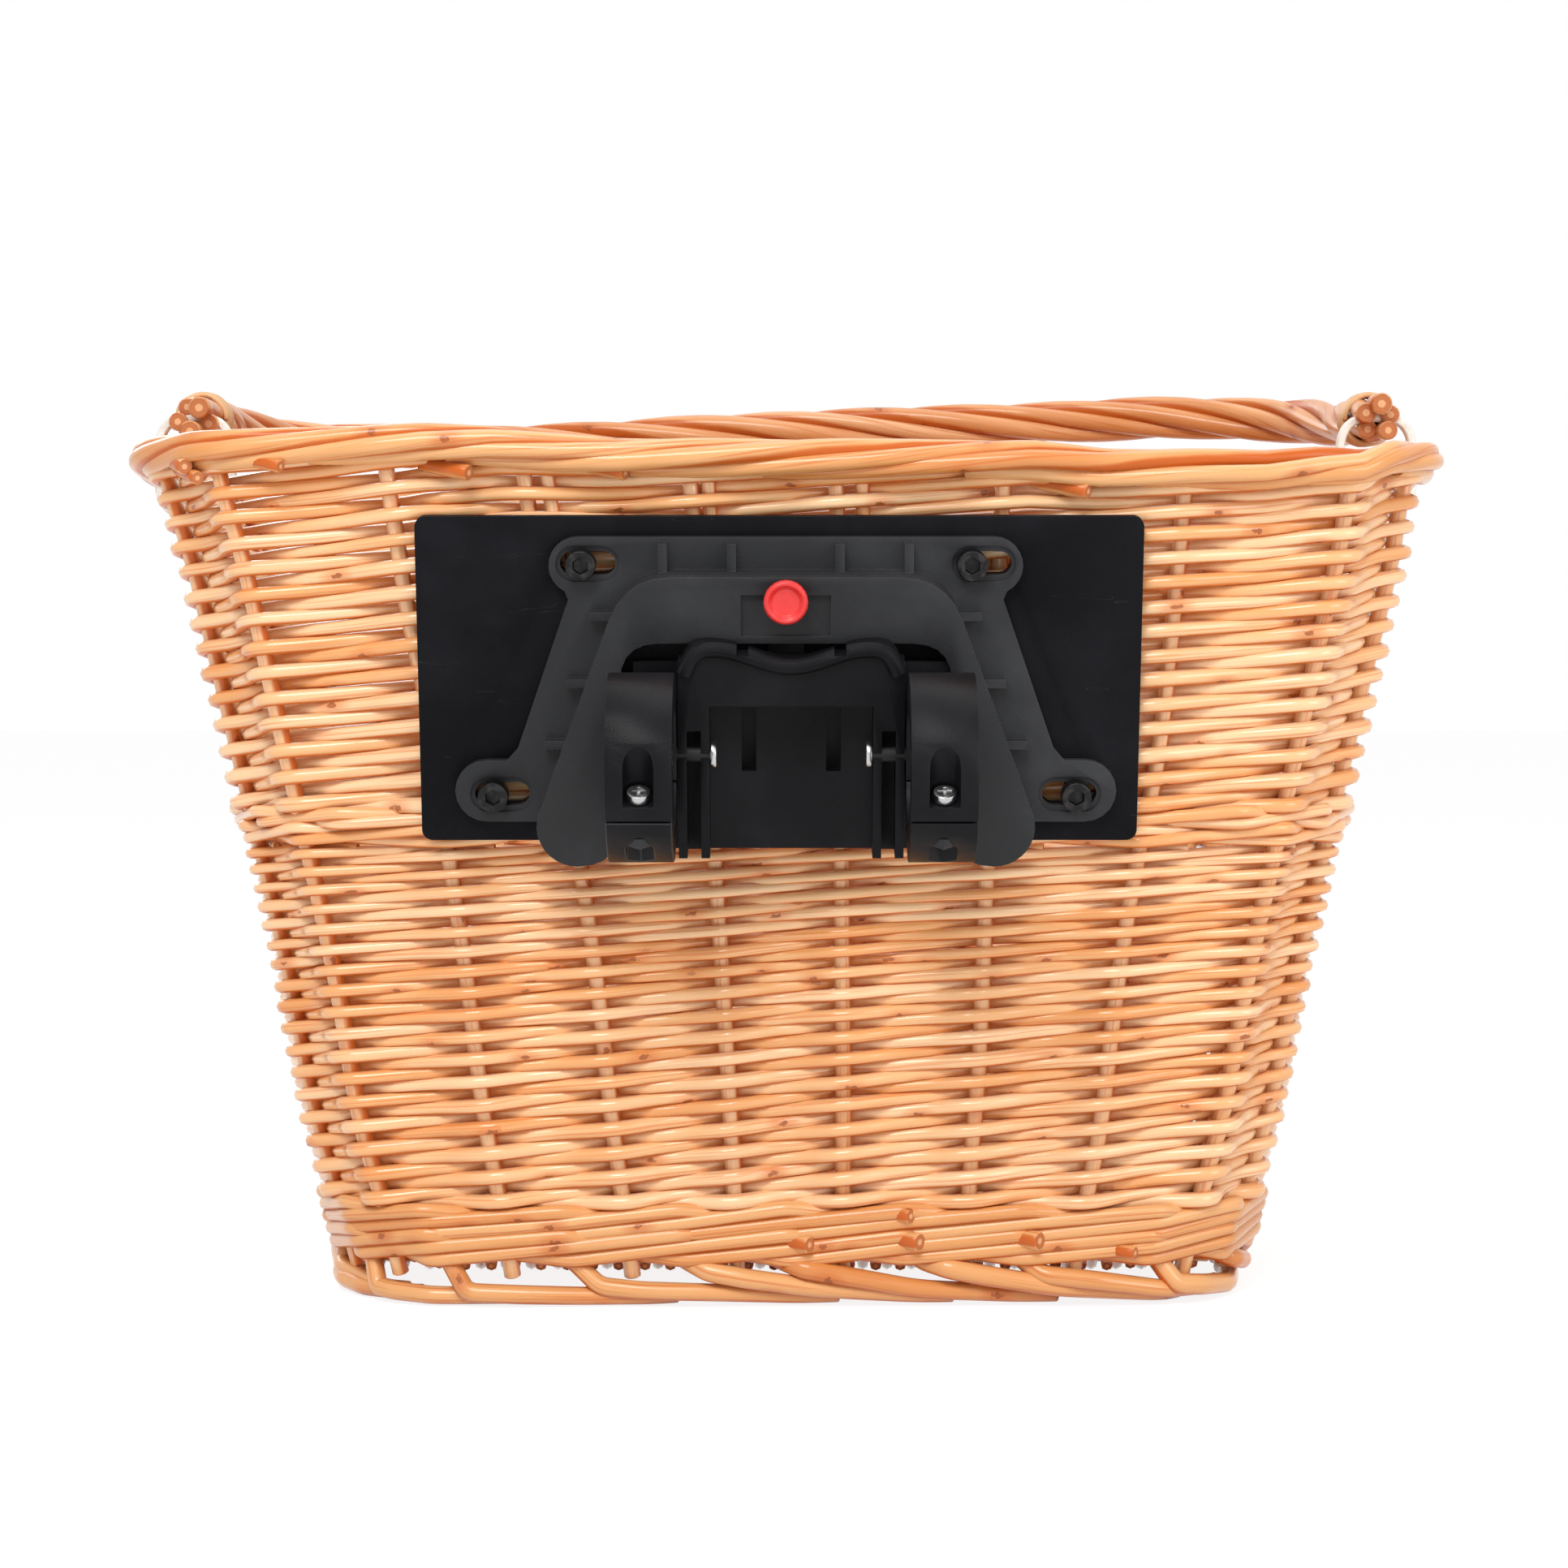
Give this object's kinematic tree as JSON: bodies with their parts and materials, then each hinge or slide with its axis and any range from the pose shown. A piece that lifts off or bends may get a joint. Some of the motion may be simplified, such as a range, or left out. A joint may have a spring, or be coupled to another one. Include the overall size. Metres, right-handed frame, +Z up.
{
  "type": "bicycle basket",
  "caption": "Woven willow front basket with a folding roped handle and a quick-release handlebar bracket on its back wall.",
  "frame": {"origin": "on the floor under the middle of the whole part's box", "axes": "+Z up; -Y is the wall with the handlebar bracket, which faces the rider; +X runs along the longer side"},
  "size_m": [0.3978, 0.3292, 0.2838],
  "materials": {
    "willow_weave": "peeled willow rods under clear varnish, honey tan, glossy",
    "willow_border": "thicker peeled willow rods under clear varnish",
    "roped_willow": "twisted willow rods, browner, satin varnish",
    "raffia": "flat split cane wound tight, dull",
    "white_plastic": "ribbed off-white plastic",
    "sheet_plastic": "matt black sheet with fine dust and scuffs",
    "moulded_plastic": "grained black moulding with lighter worn edges",
    "red_plastic": "smooth red moulding",
    "black_steel": "black oxide socket screws",
    "zinc_steel": "bright zinc plated steel"
  },
  "bodies": {
    "basket": {"foot_border": "willow_border", "base_panel": "willow_weave", "bottom_wale": "willow_border", "lower_weave": "willow_weave", "middle_wale": "willow_border", "upper_weave": "willow_weave", "rim_border": "willow_border", "hinge_loop_left": "white_plastic", "hinge_loop_right": "white_plastic", "mounting_plate": "sheet_plastic", "adapter_plate": "moulded_plastic", "plate_bolt_1": "black_steel", "plate_bolt_2": "black_steel", "plate_bolt_3": "black_steel", "plate_bolt_4": "black_steel", "plate_washer_1": "zinc_steel", "plate_washer_2": "zinc_steel", "plate_washer_3": "zinc_steel", "plate_washer_4": "zinc_steel", "plate_nut_1": "zinc_steel", "plate_nut_2": "zinc_steel", "plate_nut_3": "zinc_steel", "plate_nut_4": "zinc_steel", "latch_leaf": "moulded_plastic", "latch_screw_left": "zinc_steel", "latch_screw_right": "zinc_steel"},
    "handle": {"handle_hoop": "roped_willow", "handle_binding_left": "raffia", "handle_binding_right": "raffia"},
    "button": {"release_button": "red_plastic"},
    "bracket": {"handlebar_bracket": "moulded_plastic", "clamp_arm_left": "moulded_plastic", "clamp_arm_right": "moulded_plastic", "clamp_cap_left": "moulded_plastic", "clamp_cap_right": "moulded_plastic", "clamp_screw_left": "zinc_steel", "clamp_screw_right": "zinc_steel", "clamp_nut_left": "zinc_steel", "clamp_nut_right": "zinc_steel", "arm_screw_left": "zinc_steel", "arm_screw_right": "zinc_steel"}
  },
  "joints": [
    {"name": "handle_swing", "type": "hinge", "parent": "basket", "child": "handle", "pos_m": [0, 0.0237, 0.2668], "axis": [1, 0, 0], "range_deg": [0, 174]},
    {"name": "release_press", "type": "slide", "parent": "basket", "child": "button", "axis": [0, 0.9771, 0.2128], "range_m": [0, 0.004], "stiffness_N_per_m": 500, "deforming": ["latch_leaf"]},
    {"name": "bracket_slide", "type": "slide", "parent": "basket", "child": "bracket", "axis": [0, 0.2128, -0.9771], "range_m": [0, 0.06]}
  ]
}
